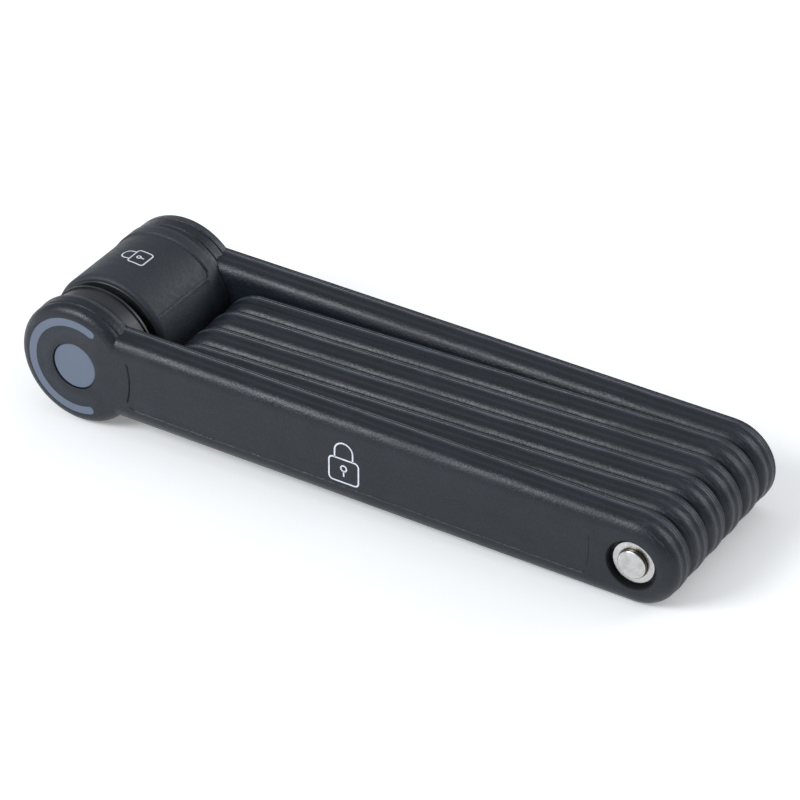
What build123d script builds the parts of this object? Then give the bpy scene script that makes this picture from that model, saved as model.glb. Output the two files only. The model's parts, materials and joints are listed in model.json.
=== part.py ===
"""Folding bike lock: six riveted steel links in rubber covers, with a round lock body between the two outer links."""
import os
from math import asin, cos, degrees, radians, sin

from build123d import *

# ---- driving dimensions, millimetres and degrees ----
outer_span = 162.9        # rivet to lock axis, on the two outer links
inner_span = 132.4        # rivet to rivet, on the four inner links
link_height = 24.4
cover_thickness = 8.6
link_pitch = 8.95          # from one link to the next through the stack
link_count = 6
front_edge_radius = 3.1
back_edge_radius = 1.2
face_rubber = 2.2         # rubber over each flat side of a steel bar
edge_rubber = 2.0         # rubber over a steel bar's edges
head_edge_radius = 2.0
rim_radius = 0.6
front_head_radius = 17.4
front_head_depth = 7.0    # the front head steps in to the collar here
back_head_radius = 17.7
back_head_step = 1.75      # a band as wide as the sleeve's border runs round its front
running_gap = 0.05        # radial clearance of a shaft in its hole
side_gap = 0.1            # clearance beside a thrust face

# rivets
shank_radius = 3.9
rivet_flange_radius = 5.8
rivet_flange_thickness = 0.7
rivet_boss_radius = 3.9
rivet_boss_height = 1.25
rivet_flange_edge = 0.25   # edge radii on the rivet's flange and boss
rivet_boss_edge = 0.4
rivet_well_radius = 6.6
washer_radius = 8.0
washer_well_radius = 8.4

# lock end of link 1, depths measured from its front face
collar_radius = 16.5
collar_depth = 5.0
collar_lip = 0.4
socket_hub_radius = 8.0
socket_radius = 5.4
socket_floor_depth = 4.6
socket_mouth_sink = 0.3   # the socket's mouth lies this far inside the collar
socket_mouth_chamfer = 0.5
front_eye_radius = 14.8
cap_radius = 6.6
cap_thickness = 1.5
cap_sink = 0.35
cap_gap = 0.1
cap_bevel = 0.35
inlay_outer_radius = 14.1
inlay_inner_radius = 11.8
inlay_depth = 1.1
inlay_sink = 0.05
inlay_start = 62.0
inlay_end = 288.0

# lock body, depths measured from the front face of link 1
body_front_depth = 16.1
nose_length = 1.8
nose_radius = 16.4
nose_edge_radius = 0.5
nose_rim_width = 2.2       # rim left round the nose ring's shallow dish
nose_dish_depth = 0.6
nose_bore_gap = 0.3        # radial gap round the bolt
sleeve_radius = 17.6
sleeve_edge_radius = 1.0
border_radius = 18.0       # raised border behind the sleeve's panel, on its upper half
border_depth = 41.4
sleeve_lap = 0.5           # the sleeve starts this far behind the nose ring's face
housing_radius = 14.6
back_eye_radius = 15.8
spigot_radius = 10.0
cylinder_radius = 8.0
cylinder_front_depth = 37.6
core_radius = 6.0
core_edge_radius = 0.3
disc_radius = 4.5
disc_chamber_radius = 4.7
disc_thickness = 1.15
disc_pitch = 1.3
disc_count = 8
disc_end_gap = 0.1
disc_turn = 15.0           # step between the discs' key slots
disc_chamber_depth = 40.0
keyway_width = 2.2
keyway_height = 7.6
side_bar_width = 1.1
side_bar_length = 9.2
side_bar_sink = 0.65       # from the core's surface to the side bar's middle
side_slot_depth = 1.5
side_slot_gap = 0.2        # room for the side bar in its slot
bezel_radius = 9.6
bezel_thickness = 1.5
bezel_sink = 0.2
bezel_edge_radius = 0.5
keyhole_gap = 0.5          # radial gap round the key core
core_sink = 0.5            # from the head's back face to the key core's end
clip_depth = 39.0          # front wall of the clip's groove
clip_groove_width = 1.0
clip_width = 0.8           # both along the axis and across the ring
clip_gap = 5.0

# bolt and its drive
bolt_radius = 5.0
bolt_front_depth = 16.7
bolt_back_depth = 37.2
bolt_bore_radius = 3.4
bolt_bore_depth = 23.2
bolt_chamfer = 0.6
bolt_travel = 9.5
key_turn = 90.0
drive_shaft_radius = 3.15
drive_shaft_depth = 23.9
drive_pin_radius = 1.3
drive_pin_depth = 25.4
pin_end_gap = 0.3
slot_clearance = 0.25
guide_pin_radius = 1.2
guide_pin_depth = 20.0
guide_groove_depth = 1.3
guide_pin_sink = 0.2

# ---- places worked out from them ----
link_radius = link_height / 2
bar_radius = link_radius - edge_rubber
bar_thickness = cover_thickness - 2 * face_rubber
stack_depth = (link_count - 1) * link_pitch + cover_thickness
front = -stack_depth / 2
tilt = degrees(asin((back_head_radius - link_radius) / outer_span))
lock_reach = outer_span * cos(radians(tilt))
lock_x = (border_radius - lock_reach - link_radius) / 2
lock_z = back_head_radius
rivet_x = lock_x + lock_reach
rivet_z = link_radius
inner_x = rivet_x - inner_span
bezel_back = stack_depth - bezel_sink
cylinder_back_depth = bezel_back - bezel_thickness
core_back_depth = stack_depth - core_sink


# ---- helpers; every slab and disc has its thickness along Y ----
def disc(radius, y0, y1):
    """Round disc or shaft on the Y axis, from y0 to y1."""
    return Pos(0, (y0 + y1) / 2, 0) * Rot(90, 0, 0) * Cylinder(radius, y1 - y0)


def slab(length, radius, y0, y1):
    """Round-ended slab from the origin to `length` towards -X, from y0 to y1."""
    outline = Pos(-length / 2, 0) * SlotCenterToCenter(length, 2 * radius)
    plane = Plane((0, y1, 0), x_dir=(1, 0, 0), z_dir=(0, -1, 0))
    return extrude(plane * outline, amount=y1 - y0)


def rounded(solid, radius, *levels):
    """Round the edges that lie at the given Y levels."""
    edges = []
    for level in levels:
        edges += solid.edges().filter_by_position(Axis.Y, level - 0.001, level + 0.001)
    return fillet(edges, radius)


def link_place(number):
    """Where a link's own frame sits: its right-hand rivet, its front face and its tilt."""
    slope = tilt if number in (1, link_count) else 0
    return Pos(rivet_x, front + (number - 1) * link_pitch, rivet_z) * Rot(0, slope, 0)


def lock_place():
    """The lock axis, with Y measured from the front face of link 1."""
    return Pos(lock_x, front, lock_z)


def upper_half_disc(radius, y0, y1):
    """The part of a disc above its axis."""
    length = y1 - y0
    return disc(radius, y0, y1) & Pos(0, (y0 + y1) / 2, radius / 2) * Box(3 * radius, 2 * length, radius)


def save(shape, name):
    """Write one node's solid or group of solids."""
    shape.label = name
    export_step(shape, f"parts/{name}.step")


# ---- links ----
def steel_bar(number):
    """Hardened bar with its rivet holes; the outer two carry a round eye at the lock end."""
    y0 = face_rubber
    y1 = cover_thickness - face_rubber
    span = inner_span
    if number in (1, link_count):
        span = outer_span
    bar = slab(span, bar_radius, y0, y1)
    eye = Pos(-span, 0, 0)
    if number == 1:
        bar = bar + eye * disc(front_eye_radius, y0, y1) - eye * disc(socket_hub_radius, y0, y1)
    elif number == link_count:
        bar = bar + eye * disc(back_eye_radius, y0, y1) - eye * disc(spigot_radius, y0, y1)
    else:
        bar = bar - eye * rivet_hole(number, "left")
    bar = bar - rivet_hole(number, "right")
    return bar


def joins_next(number, end):
    """True where the rivet at this end joins the link to the next one back."""
    return (number % 2 == 1) == (end == "right")


def rivet_hole(number, end):
    """Each rivet is tight in the rear link of its pair and turns in the front one."""
    radius = shank_radius
    if joins_next(number, end):
        radius += running_gap
    return disc(radius, 0, cover_thickness)


def rivet_wells(number, end):
    """Openings in the rubber: a round well over the rivet head and a wider one round the washer."""
    head_well = disc(rivet_well_radius, -1, face_rubber)
    washer_well = disc(washer_well_radius, cover_thickness - face_rubber, cover_thickness + 1)
    wells = head_well + washer_well
    if not joins_next(number, end):
        wells = mirror(wells, about=Plane((0, cover_thickness / 2, 0), z_dir=(0, 1, 0)))
    return wells


def link_cover(number):
    """Moulded rubber cover with a pocket for its bar; the outer two end in the round heads."""
    outer = number in (1, link_count)
    span = outer_span if outer else inner_span
    body = rounded(slab(span, link_radius, 0, cover_thickness), front_edge_radius, 0)
    body = rounded(body, back_edge_radius, cover_thickness)
    eye = Pos(-span, 0, 0)
    if number == 1:
        head = disc(front_head_radius, 0, front_head_depth)
        head = rounded(head, head_edge_radius, 0)
        head = rounded(head, rim_radius, front_head_depth)
        neck = disc(collar_radius - collar_lip, 0, cover_thickness)
        body = body + eye * (head + neck)
        body = body - eye * disc(cap_radius + cap_gap, -1, cap_sink + cap_thickness)
        body = body - eye * disc(socket_hub_radius, face_rubber, cover_thickness + 1)
        body = body - eye * Rot(0, -tilt, 0) * inlay_shape(-1, inlay_depth)
    elif number == link_count:
        head = disc(back_head_radius, 0, cover_thickness)
        head = rounded(head, head_edge_radius, cover_thickness)
        band = Rot(0, -tilt, 0) * upper_half_disc(border_radius, 0, back_head_step)
        body = body + eye * (head + band)
        body = body - eye * disc(housing_radius, -1, face_rubber)
        body = body - eye * disc(bezel_radius, cover_thickness - face_rubber, cover_thickness + 1)
        body = body - eye * disc(spigot_radius, face_rubber, cover_thickness)
    else:
        body = body - eye * rivet_wells(number, "left")
    body = body - rivet_wells(number, "right") - solid_bar(number)
    return body


def solid_bar(number):
    """The pocket that a bar leaves in its cover, without the bar's holes."""
    y0 = face_rubber
    y1 = cover_thickness - face_rubber
    if number == 1:
        pocket = slab(outer_span, bar_radius, y0, y1)
        return pocket + Pos(-outer_span, 0, 0) * disc(front_eye_radius, y0, y1)
    if number == link_count:
        pocket = slab(outer_span, bar_radius, y0, y1)
        return pocket + Pos(-outer_span, 0, 0) * disc(back_eye_radius, y0, y1)
    return slab(inner_span, bar_radius, y0, y1)


def rivet():
    """Stepped rivet for two links, with Y measured from the front link's front face."""
    back = link_pitch + cover_thickness
    head_seat = face_rubber - side_gap
    shank = disc(shank_radius, head_seat, back - face_rubber)
    flange = disc(rivet_flange_radius, head_seat - rivet_flange_thickness, head_seat)
    flange = rounded(flange, rivet_flange_edge, head_seat - rivet_flange_thickness)
    boss_top = head_seat - rivet_flange_thickness - rivet_boss_height
    boss = disc(rivet_boss_radius, boss_top, head_seat - rivet_flange_thickness)
    boss = rounded(boss, rivet_boss_edge, boss_top)
    tail_seat = back - face_rubber
    tail = disc(rivet_flange_radius, tail_seat, tail_seat + rivet_flange_thickness)
    tail = rounded(tail, rivet_flange_edge, tail_seat + rivet_flange_thickness)
    tail_end = tail_seat + rivet_flange_thickness + rivet_boss_height
    upset = rounded(disc(rivet_boss_radius, tail_seat, tail_end), rivet_boss_edge, tail_end)
    return shank + flange + boss + tail + upset


def washer():
    """Thrust washer between two bars: it sits on the rear bar and stops just short of the front one."""
    y0 = cover_thickness - face_rubber + side_gap
    y1 = link_pitch + face_rubber
    return disc(washer_radius, y0, y1) - disc(shank_radius, y0, y1)


def rivet_place(front_link):
    """Rivets behind odd links are at the right-hand end, the others at the left."""
    x = rivet_x if front_link % 2 == 1 else inner_x
    return Pos(x, front + (front_link - 1) * link_pitch, rivet_z)


# ---- lock end of link 1 ----
def inlay_shape(y0, y1):
    """Open ring with round ends, its gap towards the bar."""
    ring = disc(inlay_outer_radius, y0, y1) - disc(inlay_inner_radius, y0, y1)
    middle = (inlay_outer_radius + inlay_inner_radius) / 2
    half_width = (inlay_outer_radius - inlay_inner_radius) / 2
    reach = 2 * inlay_outer_radius
    corners = [(0, 0)]
    steps = 4
    opening = inlay_start + 360 - inlay_end
    for step in range(steps + 1):
        angle = radians(inlay_start - opening * step / steps)
        corners.append((reach * cos(angle), reach * sin(angle)))
    plane = Plane((0, y1, 0), x_dir=(1, 0, 0), z_dir=(0, -1, 0))
    wedge = extrude(plane * make_face(Polyline(*corners, close=True)), amount=y1 - y0)
    ring = ring - wedge
    for angle in (radians(inlay_start), radians(inlay_end)):
        ring = ring + Pos(middle * cos(angle), 0, middle * sin(angle)) * disc(half_width, y0, y1)
    return ring


def front_cap():
    """Round grey cap, let into the head with a small bevel round its rim."""
    cap = disc(cap_radius, cap_sink, cap_sink + cap_thickness)
    edge = cap.edges().filter_by_position(Axis.Y, cap_sink - 0.001, cap_sink + 0.001)
    return chamfer(edge, cap_bevel)


def collar():
    """Stepped collar behind the front head, with a thin lip at its back edge."""
    y0 = cover_thickness
    y1 = cover_thickness + collar_depth
    lip = rounded(disc(collar_radius, y1 - 2 * collar_lip, y1), collar_lip / 2, y1)
    ring = disc(collar_radius - collar_lip, y0, y1) + lip
    return ring - disc(socket_hub_radius, y0, y1)


def socket_hub():
    """Steel socket that receives the bolt, closed at the front."""
    y0 = face_rubber
    y1 = cover_thickness + collar_depth - socket_mouth_sink
    hub = disc(socket_hub_radius, y0, y1) - disc(socket_radius, socket_floor_depth, y1)
    mouth = hub.edges().filter_by(GeomType.CIRCLE).filter_by_position(Axis.Y, y1 - 0.001, y1 + 0.001)
    mouth = mouth.filter_by(lambda edge: edge.radius < socket_radius + 0.01)
    return chamfer(mouth, socket_mouth_chamfer)


# ---- lock body ----
def nose_ring():
    """Dished ring that closes the body's front round the bolt."""
    y0 = body_front_depth
    y1 = body_front_depth + nose_length
    ring = disc(nose_radius, y0, y1)
    ring = rounded(ring, nose_edge_radius, y0)
    dish = disc(nose_radius - nose_rim_width, y0 - 1, y0 + nose_dish_depth)
    return ring - dish - disc(bolt_radius + nose_bore_gap, y0, y1)


def lock_sleeve():
    """Soft sleeve over the steel housing, from the nose ring to the head of link 6."""
    y0 = body_front_depth + sleeve_lap
    y1 = (link_count - 1) * link_pitch
    sleeve = rounded(disc(sleeve_radius, y0, y1), sleeve_edge_radius, y0)
    sleeve = sleeve + upper_half_disc(border_radius, border_depth, y1)
    sleeve = sleeve - disc(nose_radius, y0, body_front_depth + nose_length)
    return sleeve - disc(housing_radius, y0, y1)


def lock_housing():
    """Steel housing: bolt bore in front, cylinder bore behind, and a spigot through the eye of bar 6."""
    y0 = body_front_depth + nose_length
    shoulder = (link_count - 1) * link_pitch + face_rubber
    y1 = (link_count - 1) * link_pitch + cover_thickness - face_rubber
    housing = disc(housing_radius, y0, shoulder) + disc(spigot_radius, shoulder, y1)
    housing = housing - disc(bolt_radius + running_gap, y0, cylinder_front_depth)
    housing = housing - disc(cylinder_radius, cylinder_front_depth, y1)
    pin_hole = Pos(0, guide_pin_depth, -housing_radius / 2)
    return housing - pin_hole * Cylinder(guide_pin_radius, housing_radius + 1)


def cylinder_shell():
    """Brass barrel of the key cylinder, with a groove for its retaining clip."""
    y0 = cylinder_front_depth
    shell = disc(cylinder_radius, y0, cylinder_back_depth)
    shell = shell - disc(core_radius + running_gap, y0, cylinder_back_depth)
    clip_end = clip_depth + clip_groove_width
    groove = disc(cylinder_radius + 1, clip_depth, clip_end)
    groove = groove - disc(cylinder_radius - clip_width, clip_depth, clip_end)
    return shell - groove


def retaining_clip():
    """Open spring clip in the barrel's groove."""
    y0 = clip_depth + (clip_groove_width - clip_width) / 2
    ring = disc(cylinder_radius, y0, y0 + clip_width)
    ring = ring - disc(cylinder_radius - clip_width, y0, y0 + clip_width)
    return ring - Pos(0, clip_depth, -cylinder_radius) * Box(clip_gap, 4 * clip_width, 4 * clip_width)


def keyway(y0, y1):
    """Slot for a flat key, upright at rest."""
    return Pos(0, (y0 + y1) / 2, 0) * Box(keyway_width, y1 - y0, keyway_height)


def key_core():
    """Turning core with the disc chamber behind its keyway face."""
    y0 = cylinder_front_depth
    chamber_end = disc_chamber_depth + disc_count * disc_pitch
    core = rounded(disc(core_radius, y0, core_back_depth), core_edge_radius, core_back_depth)
    core = core - disc(disc_chamber_radius, disc_chamber_depth, chamber_end)
    slot_length = side_bar_length + side_slot_gap
    slot_middle = (disc_chamber_depth + chamber_end) / 2
    slot_width = side_bar_width + side_slot_gap
    slot = Pos(core_radius, slot_middle, 0) * Box(2 * side_slot_depth, slot_length, slot_width)
    return core - slot - keyway(chamber_end, core_back_depth + 1)


def detainer_discs():
    """Stack of thin discs, each with its own turned key slot and a notch for the side bar."""
    discs = []
    for number in range(disc_count):
        y0 = disc_chamber_depth + disc_end_gap + number * disc_pitch
        blank = disc(disc_radius, y0, y0 + disc_thickness)
        slot = Rot(0, disc_turn * (number % 3), 0) * keyway(y0, y0 + disc_thickness)
        discs.append(blank - slot)
    return Compound(children=discs)


def side_bar():
    """Square bar in the core's side slot, clear of the discs."""
    middle = disc_chamber_depth + disc_count * disc_pitch / 2
    place = Pos(core_radius - side_bar_sink, middle, 0)
    return place * Box(side_bar_width, side_bar_length, side_bar_width)


def drive_shaft():
    """Shaft in front of the core that reaches into the bolt."""
    shaft = disc(drive_shaft_radius, drive_shaft_depth, cylinder_front_depth)
    hole = Pos(0, drive_pin_depth, 0) * Cylinder(drive_pin_radius, 2 * bolt_radius)
    return shaft - hole


def drive_pin():
    """Cross pin, pointing up from the drive shaft into the bolt's helical slot."""
    top = bolt_radius - pin_end_gap
    length = top + drive_shaft_radius
    middle = (top - drive_shaft_radius) / 2
    return Pos(0, drive_pin_depth, middle) * Cylinder(drive_pin_radius, length)


def bolt_slot():
    """Helical slot: a quarter turn of the key carries the bolt its whole travel."""
    width = 2 * (drive_pin_radius + slot_clearance)
    steps = 24
    slot = None
    for step in range(steps + 1):
        share = step / steps
        cut = Pos(0, drive_pin_depth + share * bolt_travel, 0)
        cut = cut * Rot(0, -share * key_turn, 0) * Pos(0, 0, bolt_radius)
        pocket = cut * Cylinder(width / 2, 2 * (bolt_radius - 1))
        slot = pocket if slot is None else slot + pocket
    return slot


def locking_bolt():
    """Round bolt, hollow behind, with its helical slot and a straight guide groove."""
    bolt = disc(bolt_radius, bolt_front_depth, bolt_back_depth)
    front_edge = bolt.edges().filter_by_position(Axis.Y, bolt_front_depth - 0.001, bolt_front_depth + 0.001)
    bolt = chamfer(front_edge, bolt_chamfer)
    bolt = bolt - disc(bolt_bore_radius, bolt_bore_depth, bolt_back_depth)
    width = 2 * (guide_pin_radius + slot_clearance)
    groove = Pos(0, guide_pin_depth + bolt_travel / 2, -bolt_radius) * Box(
        width, bolt_travel + width, 2 * guide_groove_depth
    )
    return bolt - groove - bolt_slot()


def guide_pin():
    """Dowel through the housing that keeps the bolt from turning."""
    top = -(bolt_radius - guide_groove_depth + pin_end_gap)
    bottom = -(housing_radius - guide_pin_sink)
    return Pos(0, guide_pin_depth, (top + bottom) / 2) * Cylinder(guide_pin_radius, top - bottom)


def keyhole_bezel():
    """Round bezel in the back of the head, open over the key core."""
    ring = disc(bezel_radius, cylinder_back_depth, bezel_back)
    ring = rounded(ring, bezel_edge_radius, bezel_back)
    return ring - disc(core_radius + keyhole_gap, cylinder_back_depth, bezel_back)


def main():
    os.makedirs("parts", exist_ok=True)
    for number in range(1, link_count + 1):
        save(link_place(number) * steel_bar(number), f"steel_bar_{number}")
        save(link_place(number) * link_cover(number), f"link_cover_{number}")
    for number in range(1, link_count):
        save(rivet_place(number) * rivet(), f"rivet_{number}_{number + 1}")
        save(rivet_place(number) * washer(), f"thrust_washer_{number}_{number + 1}")
    lock_parts = {
        "front_cap": front_cap(),
        "ring_inlay": inlay_shape(inlay_sink, inlay_depth),
        "head_collar": collar(),
        "socket_hub": socket_hub(),
        "nose_ring": nose_ring(),
        "lock_sleeve": lock_sleeve(),
        "lock_housing": lock_housing(),
        "cylinder_shell": cylinder_shell(),
        "retaining_clip": retaining_clip(),
        "key_core": key_core(),
        "detainer_discs": detainer_discs(),
        "side_bar": side_bar(),
        "drive_shaft": drive_shaft(),
        "drive_pin": drive_pin(),
        "locking_bolt": locking_bolt(),
        "guide_pin": guide_pin(),
        "keyhole_bezel": keyhole_bezel(),
    }
    for name, shape in lock_parts.items():
        save(lock_place() * shape, name)


main()
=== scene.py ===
"""Looks for the folding bike lock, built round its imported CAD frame.

Shapes are worked out in millimetres and scaled to the frame's metres when they are built.
"""
import json
import math

import bmesh
import bpy
import numpy as np
from mathutils import Matrix, Vector, geometry, noise


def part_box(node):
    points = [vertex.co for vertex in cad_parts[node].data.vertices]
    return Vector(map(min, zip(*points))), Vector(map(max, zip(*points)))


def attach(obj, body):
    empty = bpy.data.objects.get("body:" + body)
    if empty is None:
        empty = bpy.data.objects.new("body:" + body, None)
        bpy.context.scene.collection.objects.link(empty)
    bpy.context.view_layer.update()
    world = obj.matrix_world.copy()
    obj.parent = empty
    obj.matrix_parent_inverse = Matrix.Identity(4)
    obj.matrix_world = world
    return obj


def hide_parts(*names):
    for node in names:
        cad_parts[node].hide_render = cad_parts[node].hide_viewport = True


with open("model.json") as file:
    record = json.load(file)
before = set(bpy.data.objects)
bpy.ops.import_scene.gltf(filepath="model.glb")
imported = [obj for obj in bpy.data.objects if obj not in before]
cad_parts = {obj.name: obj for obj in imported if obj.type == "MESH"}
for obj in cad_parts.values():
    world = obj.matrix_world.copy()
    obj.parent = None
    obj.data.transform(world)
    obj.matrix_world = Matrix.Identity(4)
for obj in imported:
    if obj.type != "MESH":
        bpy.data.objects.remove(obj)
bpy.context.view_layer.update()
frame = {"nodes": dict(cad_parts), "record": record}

MM = 0.001


# ---- places read from the CAD frame, in millimetres ----
def box_mm(node):
    low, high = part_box(node)
    return Vector(low) / MM, Vector(high) / MM


def centre_mm(node):
    low, high = box_mm(node)
    return (low + high) / 2


cover_low, cover_high = box_mm("link_cover_2")
THICKNESS = cover_high.y - cover_low.y
RADIUS = (cover_high.z - cover_low.z) / 2
PITCH = box_mm("link_cover_3")[0].y - cover_low.y
FRONT = box_mm("link_cover_1")[0].y
RIGHT = centre_mm("rivet_1_2")
LEFT = centre_mm("rivet_2_3")
LOCK = centre_mm("front_cap")
INNER_SPAN = RIGHT.x - LEFT.x
OUTER_SPAN = math.hypot(RIGHT.x - LOCK.x, RIGHT.z - LOCK.z)
TILT = math.asin((LOCK.z - RIGHT.z) / OUTER_SPAN)
LINK_COUNT = 6

# ---- sizes shared with the CAD model, in millimetres ----
FACE_RUBBER = 2.2          # rubber over a bar's two faces
EDGE_RUBBER = 2.0          # rubber round a bar's edge
INNER_FRONT, INNER_BACK = FACE_RUBBER, THICKNESS - FACE_RUBBER
BOSS = 3.9                 # radius of a rivet's raised middle
RIVET_WELL = 6.6
WASHER_WELL = 8.4
CAP_HOLE, CAP_FLOOR = 6.7, 1.85
HUB_HOLE = 8.0
FRONT_EYE = 14.8
BACK_EYE = 15.8
HOUSING_HOLE = 14.6
BEZEL_HOLE = 9.6
INLAY_OUTER, INLAY_INNER, INLAY_DEPTH = 14.1, 11.8, 1.1
INLAY_START, INLAY_END = math.radians(62), math.radians(288)

# ---- sizes of the looks alone, in millimetres ----
LOWER_HEAD = 17.62         # lower half of the rear head and of the sleeve's border
INK_ROOM = 0.04            # how far the front link's face lies back for its icon
SLEEVE = 17.58
BORDER = 17.97             # border bands of the sleeve and the rear head
PANEL_EDGE = math.radians(33)
PANEL_BACK = 41.4
PANEL_CORNER = 1.4

# ---- how finely the covers are divided ----
ARC_STEPS = 44
RUN_STEPS = 96
HEAD_STEPS = 96
HOLE_STEPS = 56


# ---- mesh helper ----
class Skin:
    """Gathers points and faces in millimetres and welds them into one closed mesh."""

    def __init__(self):
        self.points = []
        self.faces = []

    def ring(self, points):
        """Adds a row of points and returns their indices."""
        start = len(self.points)
        self.points.extend(points)
        return list(range(start, start + len(points)))

    def strip(self, a, b, closed=True):
        """Faces between two rows of indices."""
        count = len(a)
        for i in range(count if closed else count - 1):
            j = (i + 1) % count
            self.faces.append((a[i], a[j], b[j], b[i]))

    def loft(self, rings):
        rows = [self.ring(points) for points in rings]
        for a, b in zip(rows, rows[1:]):
            self.strip(a, b)

    def flat(self, loops, height, spacing=2.4, grooves=()):
        """Fills the area between the first loop and the others. Points are (x, z); height gives y.
        A groove is (left, floor, right) lines and the depth of its floor. Its lines meet at their ends."""
        points, edges, sunk = [], [], {}

        def add_line(line, closed):
            start = len(points)
            points.extend(line)
            for i in range(len(line) - (0 if closed else 1)):
                edges.append((start + i, start + (i + 1) % len(line)))
            return start

        for loop in loops:
            add_line(loop, True)
        for left, floor, right, depth in grooves:
            add_line([floor[0]] + left[1:-1] + [floor[-1]], False)
            add_line([floor[0]] + right[1:-1] + [floor[-1]], False)
            start = add_line(floor, False)
            sunk.update({start + i: depth for i in range(1, len(floor) - 1)})
        points.extend(inner_points(points, loops, spacing))
        verts, _, triangles, sources, _, _ = geometry.delaunay_2d_cdt(
            [Vector(p) for p in points], edges, [], 0, 1e-5
        )
        places = np.array([tuple(v) for v in verts])
        middles = np.array([places[list(t)].mean(0) for t in triangles])
        index = self.ring([
            (x, height + max((sunk.get(i, 0.0) for i in source), default=0.0), z)
            for (x, z), source in zip(places, sources)
        ])
        for triangle, wanted in zip(triangles, inside(middles, loops)):
            if wanted:
                self.faces.append(tuple(index[i] for i in triangle))

    def build(self, name, place=None, sharp=35.0, weld=0.004):
        mesh = bpy.data.meshes.new(name)
        points = [Vector(p) for p in self.points]
        if place is not None:
            points = [place @ p for p in points]
        mesh.from_pydata([p * MM for p in points], [], self.faces)
        return finish_mesh(mesh, name, sharp, weld)


def finish_mesh(mesh, name, sharp, weld):
    """Welds a mesh, turns its faces outwards and gives it smooth shading with sharp creases."""
    work = bmesh.new()
    work.from_mesh(mesh)
    bmesh.ops.remove_doubles(work, verts=work.verts, dist=weld * MM)
    bmesh.ops.dissolve_degenerate(work, edges=work.edges, dist=weld * MM / 4)
    loose = [v for v in work.verts if not v.link_faces]
    bmesh.ops.delete(work, geom=loose, context="VERTS")
    bmesh.ops.recalc_face_normals(work, faces=work.faces)
    work.to_mesh(mesh)
    work.free()
    for polygon in mesh.polygons:
        polygon.use_smooth = True
    mesh.set_sharp_from_angle(angle=math.radians(sharp))
    thing = bpy.data.objects.new(name, mesh)
    bpy.context.scene.collection.objects.link(thing)
    return thing


def inner_points(rim, loops, spacing):
    """A staggered grid of points between the loops, clear of the rim's points."""
    rim = np.array(rim)
    low, high = rim.min(0), rim.max(0)
    columns, rows = ((high - low) / spacing).astype(int)
    grid = [
        (low[0] + column * spacing - (spacing / 2 if row % 2 else 0), low[1] + row * spacing)
        for row in range(1, rows + 1) for column in range(1, columns + 1)
    ]
    if not grid:
        return []
    grid = np.array(grid)
    near = np.array([np.min(np.hypot(*(rim - p).T)) for p in grid])
    return [tuple(p) for p in grid[(near > 0.6 * spacing) & inside(grid, loops)]]


def inside(points, loops):
    """True for each point inside an odd number of loops."""
    result = np.zeros(len(points), bool)
    for loop in loops:
        line = np.array(loop)
        x0, z0 = line[:, 0], line[:, 1]
        x1, z1 = np.roll(x0, -1), np.roll(z0, -1)
        crossed = np.zeros(len(points), bool)
        for a, b, c, d in zip(x0, z0, x1, z1):
            if b == d:
                continue
            straddle = (points[:, 1] > b) != (points[:, 1] > d)
            at = a + (points[:, 1] - b) * (c - a) / (d - b)
            crossed ^= straddle & (points[:, 0] < at)
        result ^= crossed
    return result


def soft_step(value):
    """Rises smoothly from 0 at 0 to 1 at 1."""
    value = min(1.0, max(0.0, value))
    return value * value * (3 - 2 * value)


# ---- outlines ----
def arc_points(x, z, radius, start, end, steps):
    """Points from start up to but not including end."""
    turn = (end - start) / steps
    angles = [start + i * turn for i in range(steps)]
    return [(x + radius * math.cos(a), z + radius * math.sin(a)) for a in angles]


def quarter_turn(steps):
    """(cosine, sine) of angles from 0 to 90 degrees."""
    angles = [math.pi / 2 * i / steps for i in range(steps + 1)]
    return [(math.cos(a), math.sin(a)) for a in angles]


def circle(x, radius):
    """A circle centred on a link's middle line."""
    return arc_points(x, 0.0, radius, 0.0, 2 * math.pi, HOLE_STEPS)


def wave(distance, seed):
    """Slow unevenness of a moulded edge, from 0 to 1."""
    value = noise.noise(Vector((distance / 11, seed, 0.3))) * 0.6
    value += noise.noise(Vector((distance / 4.5, seed + 7, 1.7))) * 0.4
    return min(1.0, max(0.0, 0.5 + value))


def link_outline(span, half, head=None, ripple=0.0, seed=0.0):
    """Closed outline of one slice: right-hand round end, lower run, head or left-hand round end, upper run.
    Without head, the left-hand end is as round as the right-hand one. Ripple is how deep its edge waves."""
    if head is None:
        head_x = -span
        left = (math.pi / 2, -math.pi / 2)
        left_radius = half
    else:
        head_x = -span + math.sqrt(max(head * head - half * half, 0.0))
        angle = math.asin(min(1.0, half / head))
        left = (angle, -angle)
        left_radius = head
    points = []
    distance = 0.0

    def shrink(at):
        return ripple * wave(at, seed)

    for i in range(ARC_STEPS):
        angle = math.pi / 2 - math.pi * i / ARC_STEPS
        radius = half - shrink(distance)
        points.append((radius * math.cos(angle), radius * math.sin(angle)))
        distance += math.pi * half / ARC_STEPS
    for i in range(RUN_STEPS):
        x = head_x * i / RUN_STEPS
        fade = min(1.0, 6 * (1 - i / RUN_STEPS))
        points.append((x, -(half - shrink(distance) * fade)))
        distance -= head_x / RUN_STEPS
    sweep = 2 * math.pi - (left[0] - left[1])
    for i in range(HEAD_STEPS):
        angle = left[1] - sweep * i / HEAD_STEPS
        points.append((-span + left_radius * math.cos(angle), left_radius * math.sin(angle)))
    for i in range(RUN_STEPS):
        x = head_x * (1 - i / RUN_STEPS)
        fade = min(1.0, 6 * i / RUN_STEPS, 6 * (1 - i / RUN_STEPS) + 0.2)
        points.append((x, half - shrink(distance) * fade))
        distance -= head_x / RUN_STEPS
    return points


def at_depth(points, y):
    return [(x, y, z) for x, z in points]


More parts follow.
